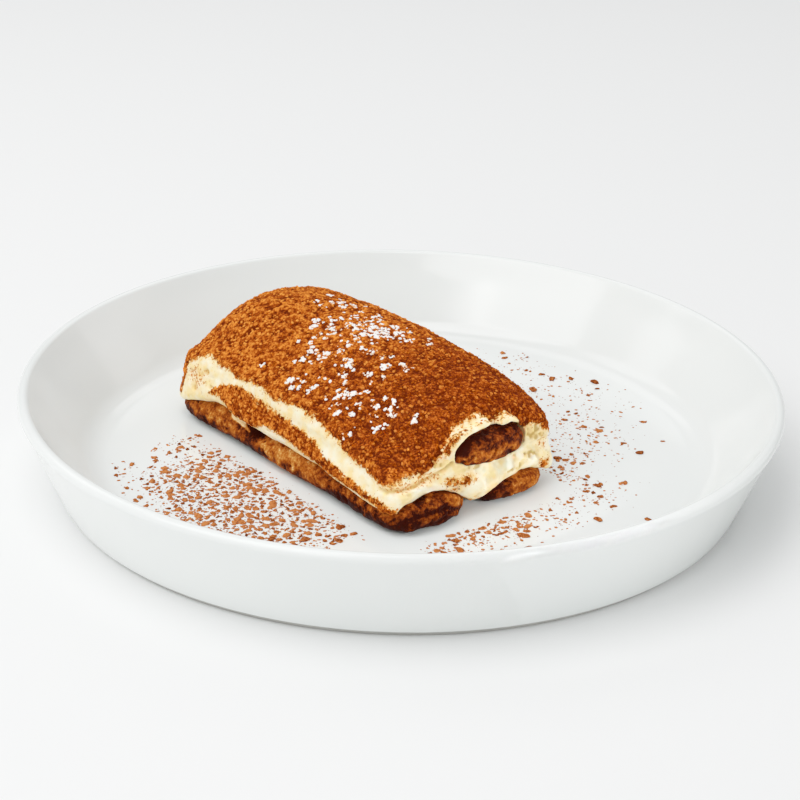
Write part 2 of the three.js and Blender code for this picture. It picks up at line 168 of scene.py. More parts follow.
def noise(place, lumps_per_metre, detail=3.0, roughness=0.5):
    """Noise over a place socket, from 0 to 1."""
    return add(place.id_data, "ShaderNodeTexNoise", {
        "Vector": place, "Scale": lumps_per_metre, "Detail": detail, "Roughness": roughness,
        }).outputs["Fac"]


def remapped(value, start=0.0, end=1.0, first=0.0, last=1.0):
    """A value that runs from first to last as another runs from start to end."""
    return add(value.id_data, "ShaderNodeMapRange", {
        "Value": value, "From Min": start, "From Max": end, "To Min": first, "To Max": last,
        }).outputs["Result"]


def mixed(share, first, second):
    """The colour between two colours, each a socket or a plain colour."""
    # A Mix node's colours are its inputs 6 and 7 and its output 2.
    colours = {number: value if isinstance(value, bpy.types.NodeSocket) else (*value, 1)
               for number, value in ((6, first), (7, second))}
    return add(share.id_data, "ShaderNodeMix", {0: share, **colours}, data_type="RGBA").outputs[2]


def surface(colour, roughness, relief, strength, depth, others=None):
    """Ends a material in its Principled shader, over a bump of a relief up to `depth` mm deep."""
    tree = colour.id_data
    bump = add(tree, "ShaderNodeBump", {
        "Height": relief, "Strength": strength, "Distance": depth * MM})
    shader = add(tree, "ShaderNodeBsdfPrincipled", {
        "Base Color": colour, "Roughness": roughness, "Normal": bump.outputs["Normal"],
        **(others or {})})
    add(tree, "ShaderNodeOutputMaterial", {"Surface": shader.outputs["BSDF"]})


GLAZE_WHITE = (0.812, 0.84, 0.818)
GLAZE_COOL = (0.782, 0.815, 0.797)
# The foot ring's bare clay, painted dark grey to stand for the shade under the plate's edge.
FOOT_CLAY_AND_SHADE = (0.46, 0.45, 0.42)
BARE_BELOW, BARE_FADE = 0.9, 0.2


def porcelain():
    """Clear glaze over a cool white body, and the foot ring's bare clay, painted grey as shade too.
    """
    finish, tree, place = new_finish("porcelain")
    cloud = noise(place, 22, detail=2)
    glazed = ramp(cloud, [(0.3, GLAZE_COOL), (0.7, GLAZE_WHITE)])
    height = add(tree, "ShaderNodeSeparateXYZ", {"Vector": place}).outputs["Z"]
    bare = remapped(height, (BARE_BELOW + BARE_FADE) * MM, BARE_BELOW * MM)
    ripple = noise(place, 40, detail=1)
    ripple.node.normalize = False
    surface(mixed(bare, glazed, FOOT_CLAY_AND_SHADE), remapped(cloud, first=0.13, last=0.17),
            ripple, strength=0.02, depth=1.0, others={
                "IOR": 1.5, "Coat Weight": 0.3, "Coat Roughness": 0.10})
    return finish


plate = turned("porcelain_plate", plate_section(), PLATE_SEGMENTS)
plate.data.materials.append(porcelain())
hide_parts("plate")
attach(plate, "root")


# ---- Sponge fingers ----
# Three crisp sponge biscuits, dipped in coffee until soft. Two lie side by side on the plate and
# the third lies on the cream above them; only their ends and the left one's side stay in view.
cream_low, cream_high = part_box("cream_middle")
# Places on the slice are in mm from its middle, which lies a little left of its box's middle.
LEFT_OF_BOX = 0.8
SLICE_MIDDLE = ((cream_low.x + cream_high.x) / 2 / MM - LEFT_OF_BOX,
                (cream_low.y + cream_high.y) / 2 / MM, 0)
SPONGE_GRAIN = 0.5
RELAX_STEPS = 6
WELD = 2e-6


def lumpiness(points, size, seed):
    """Smooth noise from -1 to 1 whose lumps are `size` across, the same for one seed."""
    cell = points / size + seed * 17.3
    corner = np.floor(cell)
    t = cell - corner
    t = t * t * (3 - 2 * t)
    corner = corner.astype(np.int64)
    total = np.zeros(len(points))
    for step in np.ndindex(2, 2, 2):
        # Large primes give each corner of the lattice a number that follows no pattern.
        key = (corner + step) @ np.array([73856093, 19349663, 83492791]) + seed * 7919
        key = (key ^ (key >> 13)) * 1274126177
        value = ((key >> 8) & 0xFFFF) / 32767.5 - 1
        total += value * np.prod(np.where(step, t, 1 - t), axis=1)
    return total


def rough_noise(points, size, seed, octaves=3):
    """Noise of several sizes, each half the last."""
    layers = [lumpiness(points, size / 2**k, seed + k) / 2**k for k in range(octaves)]
    return sum(layers) / (2 - 2.0 ** (1 - octaves))


def climb(low, high, value):
    """A value's soft climb from 0 at low to 1 at high."""
    t = np.clip((value - low) / (high - low), 0, 1)
    return t * t * (3 - 2 * t)


def merged_solid(node):
    """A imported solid's loose triangles with their doubles merged."""
    shell = bmesh.new()
    shell.from_mesh(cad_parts[node].data)
    bmesh.ops.remove_doubles(shell, verts=shell.verts, dist=WELD)
    return shell


def solid_copy(node, name):
    """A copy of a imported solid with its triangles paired, as a piece of its own."""
    shell = merged_solid(node)
    bmesh.ops.join_triangles(shell, faces=shell.faces, angle_face_threshold=0.7,
                             angle_shape_threshold=0.9)
    mesh = bpy.data.meshes.new(name)
    shell.to_mesh(mesh)
    shell.free()
    return in_scene(name, mesh)


def make_plain(piece):
    """Turns what a piece's modifiers show into its plain mesh, and removes them."""
    depsgraph = bpy.context.evaluated_depsgraph_get()
    shown = bpy.data.meshes.new_from_object(piece.evaluated_get(depsgraph))
    piece.modifiers.clear()
    piece.data = shown
    shown.shade_smooth()


def round_off(piece):
    """Rounds a piece's facets with a subdivision surface."""
    rounder = piece.modifiers.new("rounder", "SUBSURF")
    rounder.levels = rounder.render_levels = 2


def finely_meshed(piece, grain):
    """Rounds a piece and meshes it anew in cells of `grain` mm."""
    round_off(piece)
    mesher = piece.modifiers.new("mesher", "REMESH")
    mesher.mode = "VOXEL"
    mesher.voxel_size = grain * MM
    mesher.adaptivity = 0
    relaxer = piece.modifiers.new("relaxer", "SMOOTH")
    relaxer.factor = 0.5
    relaxer.iterations = RELAX_STEPS
    make_plain(piece)


def points_of(piece):
    """A mesh's points in mm, placed from the slice's own middle, and its outward normals."""
    points = piece.data.vertices
    places, normals = np.empty((2, len(points) * 3), np.float32)
    points.foreach_get("co", places)
    points.foreach_get("normal", normals)
    places, normals = (rows.reshape(-1, 3).astype(float) for rows in (places, normals))
    return places / MM - SLICE_MIDDLE, normals


def move_points(piece, places):
    """Moves a mesh's points to places in mm from the slice's own middle."""
    placed = (places + SLICE_MIDDLE) * MM
    piece.data.vertices.foreach_set("co", placed.astype(np.float32).ravel())
    piece.data.update()


def store(mesh, name, values):
    """Keeps one number for each point of a mesh, for its material or its powder."""
    layer = mesh.attributes.new(name, "FLOAT", "POINT")
    layer.data.foreach_set("value", values.astype(np.float32))


def dress(piece, finish):
    """Gives a piece one finish all over."""
    piece.data.materials.clear()
    piece.data.materials.append(finish)


# How dark each biscuit is, from 0, dry and golden, to 1, black: how deeply coffee has soaked it,
# with painted shade added. `side` runs along it as (y, darkness) and `end` across its front end
# as (x, darkness); the right one's end is painted near black at its left edge as shade. `crown`
# is what the front end's top adds: painted shade under the cream's overhang on the upper biscuit,
# a lighter top on the lower two. `rim` is a painted shadow along the upper left edge of the end.
# `folded` is how strongly the front end is wrinkled. `smears` are streaks of cream on its side,
# from one (y, z) to another and half as wide as stated, and `gap` is a hollow under the cream's
# edge, as y, z, half length and half height, painted with shadow too.
FINGERS = {
    "ladyfinger_bottom_left": {
        "name": "soaked_finger_left", "seed": 3, "folded": 0.2, "crown": -0.15,
        "smears": [((24.5, 15.4), (15.5, 13.2), 0.85)], "gap": (12.4, 14.0, 4.6, 1.5),
        "side": [(-48, 0.66), (-30, 0.64), (-22, 0.52), (-16, 0.17), (4, 0.1), (9, 0.45), (14, 0.7),
                 (19, 0.62), (25, 0.5), (34, 0.36), (50, 0.45)],
        "end": [(-29, 0.85), (-24, 0.85), (-19, 0.66), (-12, 0.5), (-5, 0.26)]},
    "ladyfinger_bottom_right": {
        "name": "soaked_finger_right", "seed": 8, "folded": 0.1, "crown": -0.05,
        "side": [(-50, 0.25), (50, 0.35)],
        # The end is painted near black at its left edge, as shade.
        "end": [(2, 0.98), (8, 0.66), (14, 0.36), (24, 0.3), (28, 0.5)]},
    "ladyfinger_top": {
        "name": "soaked_finger_top", "seed": 14, "folded": 0.1, "crown": 0.34, "rim": 1.5,
        "side": [(-50, 0.6), (50, 0.4)],
        "end": [(-6, 0.7), (0, 0.8), (12, 0.9), (18, 0.95)]},
}
COFFEE_BLACK = (0.030, 0.003, 0.0005)
COFFEE_BROWN = (0.20, 0.036, 0.003)
SPONGE_BROWN = (0.44, 0.12, 0.015)
SPONGE_GOLD = (0.68, 0.33, 0.085)
SMEARED_CREAM = (0.90, 0.66, 0.36)
# The forms of the soaked skin: how wide each is, and how high or deep, in mm.
SWELL_SIZE, SWELL_HEIGHT = 7.0, 0.32
LUMP_SIZE, LUMP_HEIGHT = 2.4, 0.22
CRUMB_SIZE, CRUMB_HEIGHT = 1.2, 0.16
PORE_SIZE, PORE_DEPTH = 1.3, 0.4
WANDER_SIZE, WANDER, CRUMB_WANDER, WRINKLE_TURN = 3.6, 2.2, 0.3, 1.5
GAP_DEPTH = 1.3
# How much darker each of them, and the biscuit's foot, makes the sponge. Folds, pores and the gap
# under the cream get painted shade, and lumps are made lighter.
FOLD_SHADE, SWELL_SOAK, PORE_SHADE, LUMP_LIGHTENING, GAP_SHADOW, FOOT_DARKENING = 2.4, 0.28, 0.34, 0.42, 0.9, 0.5
SMEAR_LIGHTENS = 1.1


def stored(tree, name):
    """The number that a mesh stores for each of its points under a name."""
    return add(tree, "ShaderNodeAttribute", attribute_name=name).outputs["Fac"]


def maths(operation, *values):
    """The result of a Math node, from values that are a socket and then numbers or sockets."""
    inputs = dict(enumerate(values))
    return add(values[0].id_data, "ShaderNodeMath", inputs, operation=operation).outputs[0]


def soaked_sponge():
    """Damp crumb, golden to coffee black as its stored soak and painted shade go from 0 to 1."""
    finish, tree, place = new_finish("soaked_sponge")
    crumb = noise(place, 1000, detail=3, roughness=0.7)
    grained = maths("MULTIPLY_ADD", crumb, 1.9, stored(tree, "soak_and_shade"))
    level = remapped(grained, 0.75, 2.05)
    colour = ramp(level, [
        (0.0, SMEARED_CREAM), (0.03, SPONGE_GOLD), (0.36, SPONGE_BROWN), (0.64, COFFEE_BROWN),
        (0.92, COFFEE_BLACK)])
    surface(colour, remapped(level, first=0.8, last=0.5), crumb,
            strength=0.8, depth=0.5, others={"Specular IOR Level": 0.04})
    return finish


def mound(across, up, oval):
    """A soft mound, 1 at its middle, over an oval: the middle's two places and the two reaches."""
    middle_across, middle_up, wide, high = oval
    return np.exp(-(((across - middle_across) / wide) ** 2 + ((up - middle_up) / high) ** 2))


def crumb_relief(piece, finger):
    """Wrinkles the soaked skin, opens pores in it, and stores its soak with painted shade added."""
    places, normals = points_of(piece)
    seed = finger["seed"]
    x, y, z = places.T
    low, high = places.min(axis=0), places.max(axis=0)
    middle = (low + high) / 2
    on_left = x < middle[0]
    at_end = climb(low[1] + 9, low[1] + 3, y)
    broad = rough_noise(places * (1, 0.6, 1), SWELL_SIZE, seed)
    lumps = rough_noise(places, LUMP_SIZE, seed + 20, octaves=2)
    crumbs = lumpiness(places, CRUMB_SIZE, seed + 30)
    pits = climb(0.25, 0.7, lumpiness(places, PORE_SIZE, seed + 40))
    spread = np.hypot((x - middle[0]) / 1.6, (z - low[2]) * 1.2)
    wander = WANDER * lumpiness(places, WANDER_SIZE, seed + 60) + CRUMB_WANDER * crumbs
    wrinkle = np.sin(spread * WRINKLE_TURN + wander)
    height = SWELL_HEIGHT * broad + LUMP_HEIGHT * lumps + CRUMB_HEIGHT * crumbs - PORE_DEPTH * pits
    height += finger["folded"] * wrinkle * at_end
    hollow_shade = mound(y, z, finger["gap"]) * on_left if "gap" in finger else 0
    height -= GAP_DEPTH * hollow_shade
    move_points(piece, places + normals * height[:, None])

    raised = (z - low[2]) / (high[2] - low[2])
    soak_and_shade = along(finger["side"], y) + at_end * (along(finger["end"], x) - along(finger["side"], y))
    # On the upper biscuit the end's top is painted darker, as shade under the cream's overhang.
    soak_and_shade += at_end * finger["crown"] * (2 * climb(0.2, 0.9, raised) - 1)
    foot = climb(0.48 - 0.3 * at_end, 0.2 - 0.15 * at_end, raised + 0.1 * lumps)
    # Darker towards the foot, and painted shadow in the hollow under the cream's edge.
    soak_and_shade += FOOT_DARKENING * foot + GAP_SHADOW * hollow_shade
    # Painted shadow along the upper left edge of the upper biscuit's end, under the cream's lip.
    across, upwards = (2 * (places - middle) / (high - low)).T[[0, 2]]
    upper_left_shadow = climb(-0.1, 0.5, upwards - 0.6 * across)
    soak_and_shade += finger.get("rim", 0) * at_end * upper_left_shadow * climb(0.62, 0.84, np.hypot(across, upwards))
    for begin, end, half_width in finger.get("smears", []):
        tapered = half_width * (0.35 + 0.65 * climb(end[0], begin[0], y))
        reach = off_segment(y, z, begin, end) / tapered + 0.7 * lumps + 0.4 * crumbs
        soak_and_shade -= SMEAR_LIGHTENS * climb(1.6, 0.6, reach) * on_left
    # Painted shade in the valleys of the front end's wrinkles.
    soak_and_shade += FOLD_SHADE * climb(0.2, 0.9, -wrinkle) * at_end * finger["folded"]
    # Painted shade in the pores; raised lumps lighter.
    store(piece.data, "soak_and_shade", soak_and_shade + SWELL_SOAK * broad + PORE_SHADE * pits - LUMP_LIGHTENING * lumps)


def off_segment(across, up, begin, end):
    """How far each place of a plane lies from the straight line between two of its points."""
    run, rise = end[0] - begin[0], end[1] - begin[1]
    share = ((across - begin[0]) * run + (up - begin[1]) * rise) / (run**2 + rise**2)
    share = np.clip(share, 0, 1)
    return np.hypot(across - begin[0] - share * run, up - begin[1] - share * rise)


def along(curve, at):
    """A curve's value at each place, straight between its points."""
    places, heights = zip(*curve)
    return np.interp(at, places, heights)


sponge_finish = soaked_sponge()
for node, finger in FINGERS.items():
    piece = solid_copy(node, finger["name"])
    finely_meshed(piece, SPONGE_GRAIN)
    crumb_relief(piece, finger)
    dress(piece, sponge_finish)
    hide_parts(node)
    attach(piece, "root")


# ---- Creams ----
# Two layers of whipped mascarpone cream, one spread over the lower biscuits and one over the upper
# biscuit, which meet along the sides. Cocoa sifted over the top also coats the sides below a bare
# white band, and the cut front end stays bare.
CREAM_GRAIN = 0.5
# The middle cream's top reaches this far up into the coat, so that the two join without a gap.
LAP = 0.9
FAR_AWAY = 60.0
# Faces further in than HIDDEN_INSIDE and further below the top than HIDDEN_BELOW never show.
# HIDDEN_KEPT is the share of them that is kept, and the top is found in cells of SKIN_CELL.
SKIN_CELL, HIDDEN_INSIDE, HIDDEN_BELOW, HIDDEN_KEPT = 1.5, 7.0, 3.0, 0.1

# Heights in mm along the left side, each as (y, z). Cocoa lies above the first; the cream is bare
# from there down to the second, dusted again down to the third, and bare below that.
BAND_TOP = [
    (-54, 20.6), (-47, 20.4), (-41.5, 21.5), (-37, 22.5), (-30, 24.4), (-26, 26.2), (-18, 28.1),
    (-5, 28.6), (6, 28.6), (20, 28.6), (32, 29.2), (39, 29.2), (44, 27.2), (48, 25.5)]
BAND_BOTTOM = [
    (-52, 15.4), (-46, 15.8), (-37, 17.6), (-31, 18.8), (-24, 20.3), (-16, 22.6), (-7, 24.1),
    (4, 24.2), (12, 25.3), (21, 26.0), (27, 24.4), (31, 22.6), (34, 20.2), (36, 12)]
SIDE_END = [(15, 10), (23, 18.0), (27, 20.0), (31, 20.6), (36, 17.8)]
# How much of the side's lower edge stays bare, as (y, mm): a lip that is thickest in the middle.
BARE_LIP = [(-50, 1.1), (-24, 1.3), (-14, 2.6), (-4, 3.9), (4, 4.2), (8, 2.4), (12, 1.3), (30, 1.2)]
# Small holes in the bare patch at the side's far end, as y, z and radius, painted brown as shade.
SIDE_HOLES = [(37.2, 25.0, 1.0), (42.1, 18.5, 0.8), (34.0, 21.4, 0.6), (46.0, 22.5, 0.6)]
# The bare bands of the right side and the far end, level but for a slight waver: the top and the
# bottom of each, and the end of the cocoa below. FAR_CORNER is how low cocoa reaches at one corner.
RIGHT_BAND, FAR_BAND, FAR_CORNER, BAND_WAVER = (26.5, 20.5, 15.0), (22.5, 16.5, 13.5), 14.5, 1.2
# Across the front end, each as (x, z): cocoa lies above the first line and below the second, and
# the third is the crease between the two creams, pressed in and painted darker as shade.
FRONT_EDGE = [
    (-31, 20.6), (-27.5, 20.9), (-24, 22.1), (-20, 22.6), (-18, 21.8), (-15.6, 23.6), (-13.8, 25.2),
    (-11.4, 27.2), (-9.6, 29.4), (-8, 31.0), (-6.1, 32.1), (-2, 33.0), (4, 33.8), (5.6, 33.3),
    (6.6, 31.2), (7.6, 31.3), (9.9, 32.6), (12, 33.0), (14.5, 32.1), (16.3, 29.6), (18, 27.6),
    (20, 27.1), (22.4, 27.3), (25.6, 25.7), (28.3, 23.6), (31, 21.8)]
FRONT_LOWER = [(-31, 15.6), (-29, 14.6), (-27.5, 11)]
CREASE = [
    (-29.5, 18.8), (-27.8, 19.4), (-25.2, 19.8), (-22, 19.9), (-19.2, 20.3), (-16.4, 20.7),
    (-13.7, 21.2), (-11, 21.9), (-8.7, 23.3)]
# Cocoa and coffee smudges on the bare front: x, z, half width and half height.
SMUDGES = [
    (-10.2, 18.2, 2.2, 0.8), (-7.0, 17.4, 2.6, 1.2), (-8.6, 16.2, 2.0, 0.7), (25.3, 14.2, 1.5, 1.3)]
# Where the front's cream is thin and lets yellow and olive through, with painted olive shade
# added, and where cocoa dusts it.
THIN_CREAM = [
    (23.5, 23.8, 4.4, 4.0), (9.5, 15.6, 3.6, 1.2), (14.5, 16.6, 4.2, 1.3), (20.5, 18.4, 3.6, 1.2),
    (-14.0, 23.6, 3.5, 0.9), (-3.0, 20.6, 5.0, 0.8)]
DUSTED_CREAM = [
    (-26.5, 20.2, 6.0, 2.0), (-17.5, 20.8, 7.0, 2.0), (-6.5, 17.8, 6.5, 2.6),
    (-14.5, 25.6, 3.5, 2.4), (26.5, 15.0, 2.6, 2.4), (26.0, 20.5, 2.6, 2.6)]
# Where along y the front end's own look begins, and where each side's cocoa gives way to an end's.
FRONT_FADE, FRONT_BLEND, FAR_BLEND = (-46, -50), (-48.5, -51.5), (47.5, 50.5)


# The coat's rim curls out over the upper biscuit's end in two tongues: x, z and half thickness.
# The ragged edge of the cocoa is calmer on them, between CURLS_LEFT and CURLS_RIGHT.
CURLS = [
    [(-11.6, 25.4, 0.8), (-10.4, 27.4, 1.3), (-8.2, 29.8, 1.4), (-5.8, 31.1, 1.3),
     (-3.6, 31.6, 1.0), (-0.8, 31.9, 1.0), (2.1, 32.2, 1.3), (4.8, 32.7, 1.3)],
    [(8.0, 30.9, 0.7), (10.3, 31.6, 1.1), (12.1, 31.9, 1.2), (14.1, 31.0, 1.0), (15.7, 29.8, 0.7)]]
CURL_Y, CURL_DEPTH, CURL_SIDES, CURL_STEPS = -55.2, 1.9, 12, 6
CURLS_LEFT, CURLS_RIGHT, CURLS_LOW = -13, 16.5, 24


def curled_rim(path):
    """A flattened rod of cream along a path across the front end, as points in mm and faces."""
    path = np.array(path)
    fine = np.linspace(0, len(path) - 1, CURL_STEPS * len(path))
    x, z, thickness = (np.interp(fine, np.arange(len(path)), column) for column in path.T)
    thickness = thickness * np.sqrt(np.clip(4 * np.minimum(fine, fine[-1] - fine), 0.05, 1))
    lean = np.arctan2(np.gradient(z), np.gradient(x))
    points, faces = [], []
    for step in range(len(fine)):
        for side in range(CURL_SIDES):
            turn = 2 * math.pi * side / CURL_SIDES
            up, out = thickness[step] * math.cos(turn), CURL_DEPTH * math.sin(turn)
            points.append((x[step] - up * math.sin(lean[step]), CURL_Y - out,
                           z[step] + up * math.cos(lean[step])))
    for step in range(len(fine) - 1):
        for side in range(CURL_SIDES):
            here, after = step * CURL_SIDES + side, step * CURL_SIDES + (side + 1) % CURL_SIDES
            faces.append((here, after, after + CURL_SIDES, here + CURL_SIDES))
    faces.append(tuple(reversed(range(CURL_SIDES))))
    faces.append(tuple(range((len(fine) - 1) * CURL_SIDES, len(fine) * CURL_SIDES)))
    return [tuple(np.array(point) + SLICE_MIDDLE) for point in points], faces


def lower_edge(places):
    """How low the cream's left side reaches beside each point."""
    x, y, z = places.T
    outermost = x < x.min() + 2.5
    slots = np.round(y - y.min()).astype(int)
    lowest = np.full(slots.max() + 1, FAR_AWAY)
    np.minimum.at(lowest, slots[outermost], z[outermost])
    return lowest[slots]


def oval_reach(across, up, oval):
    """How far out of an oval's middle each place lies, 1 at its edge."""
    middle_across, middle_up, wide, high = oval
    return np.hypot((across - middle_across) / wide, (up - middle_up) / high)


def patches(places, spots):
    """How strongly each point lies in spots of x, z, half width and half height on the front."""
    x, y, z = places.T
    held = [climb(1.3, 0.4, oval_reach(x, z, spot)) for spot in spots]
    return np.max(held, axis=0) * climb(*FRONT_FADE, y)


def banded(z, top, bottom, end):
    """The cover of a side with cocoa above `top`, none down to `bottom`, and cocoa down to `end`."""
    return np.maximum(z - top, np.minimum(bottom - z, z - end))


def cocoa_cover(places):
    """How far inside the cocoa each point of the cream lies, in mm; below 0 the cream is bare."""
    x, y, z = places.T
    side_end = np.maximum(along(SIDE_END, y), lower_edge(places) + along(BARE_LIP, y))
    left = banded(z, along(BAND_TOP, y), along(BAND_BOTTOM, y), side_end)
    waver = BAND_WAVER * lumpiness(places * (1, 1, 0.2), 6.0, 90)
    right, far_end = (banded(z, top + waver, bottom + waver, end)
                      for top, bottom, end in (RIGHT_BAND, FAR_BAND))
    far_end = np.where(x < -26, np.maximum(far_end, z - FAR_CORNER), far_end)
    front = np.maximum(z - along(FRONT_EDGE, x), along(FRONT_LOWER, x) - z)
    for smudge in SMUDGES:
        inside = (1 - oval_reach(x, z, smudge)) * smudge[3]
        front = np.maximum(front, np.where(y < -40, inside, -FAR_AWAY))
    cover = np.where(x < 0, left, right)
    towards_front = climb(*FRONT_BLEND, y)
    towards_far = climb(*FAR_BLEND, y)
    cover = cover * (1 - towards_front) + front * towards_front
    return cover * (1 - towards_far) + far_end * towards_far


def thin_hidden(piece):
    """Thins the faces inside the slice, deep under the top ones, where nothing shows."""
    x, y, z = points_of(piece)[0].T
    across, along_y = ((c // SKIN_CELL - (c // SKIN_CELL).min()).astype(int) for c in (x, y))
    skin = np.full((across.max() + 1, along_y.max() + 1), -FAR_AWAY)
    np.maximum.at(skin, (across, along_y), z)
    edge = np.minimum(np.minimum(x - x.min(), x.max() - x), np.minimum(y - y.min(), y.max() - y))
    hidden = (edge > HIDDEN_INSIDE) & (z < skin[across, along_y] - HIDDEN_BELOW)
    group = piece.vertex_groups.new(name="hidden")
    group.add(np.nonzero(hidden)[0].tolist(), 1.0, "REPLACE")
    thinner = piece.modifiers.new("thinner", "DECIMATE")
    thinner.vertex_group = "hidden"
    thinner.ratio = 1 - (1 - HIDDEN_KEPT) * hidden.mean()
    make_plain(piece)
    piece.vertex_groups.clear()


def joined_creams():
    """Both creams as one piece. The middle cream's top is raised to lap into the coat."""
    middle = solid_copy("cream_middle", "cocoa_dusted_cream")
    coat = solid_copy("cream_top", "coat")
    places, normals = points_of(middle)
    places[:, 2] += LAP * (normals[:, 2] > 0.25) * (places[:, 2] > 16)
    move_points(middle, places)
    joined = bmesh.new()
    joined.from_mesh(middle.data)
    joined.from_mesh(coat.data)
    curls = [new_piece("curl", *curled_rim(path)) for path in CURLS]
    for curl in curls:
        joined.from_mesh(curl.data)
    bmesh.ops.recalc_face_normals(joined, faces=joined.faces)
    joined.to_mesh(middle.data)
    joined.free()
    for spare in (coat, *curls):
        bpy.data.objects.remove(spare)
    return middle


# The forms of the cream and of the cocoa on it: how wide each is, and how high or deep, in mm.
SPREAD_SIZE, SPREAD_HEIGHT = 9.0, 0.45
RAKE_SIZE, RAKE_HEIGHT = 4.0, 0.25
FOLD_SIZE, FOLD_HEIGHT = 2.6, 0.42
BUBBLE_SIZE, BUBBLE_DEPTH = 0.9, 0.5
CLOT_SIZE, FINE_CLOT_SIZE, CLOT_HEIGHT, COAT_HEIGHT = 1.25, 0.75, 0.26, 0.15
CREASE_WIDTH, CREASE_DEPTH = 0.55, 1.1
# The coat sinks a little over its far left shoulder, and dust lies on the band below: the middle
# and the reach of each, as x and y, and as y and z.
SHOULDER_DIP, FAR_DUST = (-18, 45, 9, 8), (42, 22, 7, 4)


def cream_relief(piece):
    """Rakes the bare cream, crumbles the cocoa's coat and presses in the crease between layers."""
    places, normals = points_of(piece)
    x, y, z = places.T
    front = climb(*FRONT_FADE, y)
    ragged = 0.9 * lumpiness(places, 2.6, 50) + 0.6 * lumpiness(places, 1.3, 52)
    above_lip = z - lower_edge(places) - along(BARE_LIP, y)
    ragged *= np.where(x < -24, 0.25 + 0.75 * climb(0.5, 3.0, above_lip), 1)
    on_curl = climb(-53.5, -55.5, y) * (z > CURLS_LOW) * (x > CURLS_LEFT) * (x < CURLS_RIGHT)
    cover = cocoa_cover(places) + ragged * (1 - 0.7 * on_curl)
    powdered = climb(-0.2, 0.35, cover)
    broad = rough_noise(places, SPREAD_SIZE, 31)
    clots = lumpiness(places, CLOT_SIZE, 36) + 0.7 * lumpiness(places, FINE_CLOT_SIZE, 70)
    thin = patches(places, THIN_CREAM)
    bubbles = lumpiness(places, BUBBLE_SIZE, 76)
    bubbles = climb(0.5 - 0.4 * thin, 0.85 - 0.4 * thin, bubbles)
    raked = rough_noise(places * (1, 1, 2.2), RAKE_SIZE, 82)
    folded = rough_noise(places * (0.55, 1, 1.7), FOLD_SIZE, 96)
    coated = COAT_HEIGHT + CLOT_HEIGHT * clots
    bare = RAKE_HEIGHT * raked - BUBBLE_DEPTH * bubbles + FOLD_HEIGHT * folded * front
    height = SPREAD_HEIGHT * broad + powdered * coated + (1 - powdered) * bare
    off_crease = np.where((x > -8) | (x < -30.5), FAR_AWAY, z - along(CREASE, x))
    crease = front * np.exp(-((off_crease / CREASE_WIDTH) ** 2))
    for hole_y, hole_z, radius in SIDE_HOLES:
        crease += 1.2 * mound(y, z, (hole_y, hole_z, radius, radius)) * (x < -20)
    moved = places + normals * (height - CREASE_DEPTH * crease)[:, None]
    moved[:, 2] -= mound(x, y, SHOULDER_DIP) * climb(24, 30, z)
    move_points(piece, moved)

    towards_front = climb(10, -40, y) * (z > 24)
    near_cocoa = 0.58 * np.exp(np.minimum(cover, 0) / 1.2) * (1 - 0.6 * on_curl)
    dust = np.maximum(near_cocoa, 0.75 * patches(places, DUSTED_CREAM))
    # Painted shade in the bubbles, crease, holes and folds, and olive where the cream is thin.
    hollow_shade = (0.35 + 0.95 * thin) * bubbles + 0.9 * crease + 0.32 * thin
    store(piece.data, "cover", cover)
    # The cocoa darker towards the front.
    store(piece.data, "clot", clots * (1 - 0.4 * towards_front) - 0.5 * towards_front)
    store(piece.data, "hollow_shade", hollow_shade + 0.3 * climb(0.1, 0.7, -folded) * front)
    store(piece.data, "dust", np.maximum(dust, 0.9 * mound(y, z, FAR_DUST) * (x < -20)))


CREAM_WHITE = (0.99, 0.89, 0.66)
CREAM_YELLOW = (0.97, 0.71, 0.34)
# The olive of painted shade in the cream's hollows and crease, and of its thin places.
CREAM_SHADE_OLIVE = (0.58, 0.36, 0.10)
COCOA_DARK = (0.10, 0.012, 0.0005)
COCOA_RUST = (0.32, 0.055, 0.003)
COCOA_ORANGE = (0.76, 0.22, 0.032)
COCOA_THIN = (0.88, 0.42, 0.10)
COCOA_SPECK = (0.58, 0.20, 0.04)


def rising(factor, low, high, most=1.0):
    """A share that climbs from 0 to `most` as a factor goes from low to high."""
    return ramp(factor, [(low, (0, 0, 0)), (high, (most, most, most))])


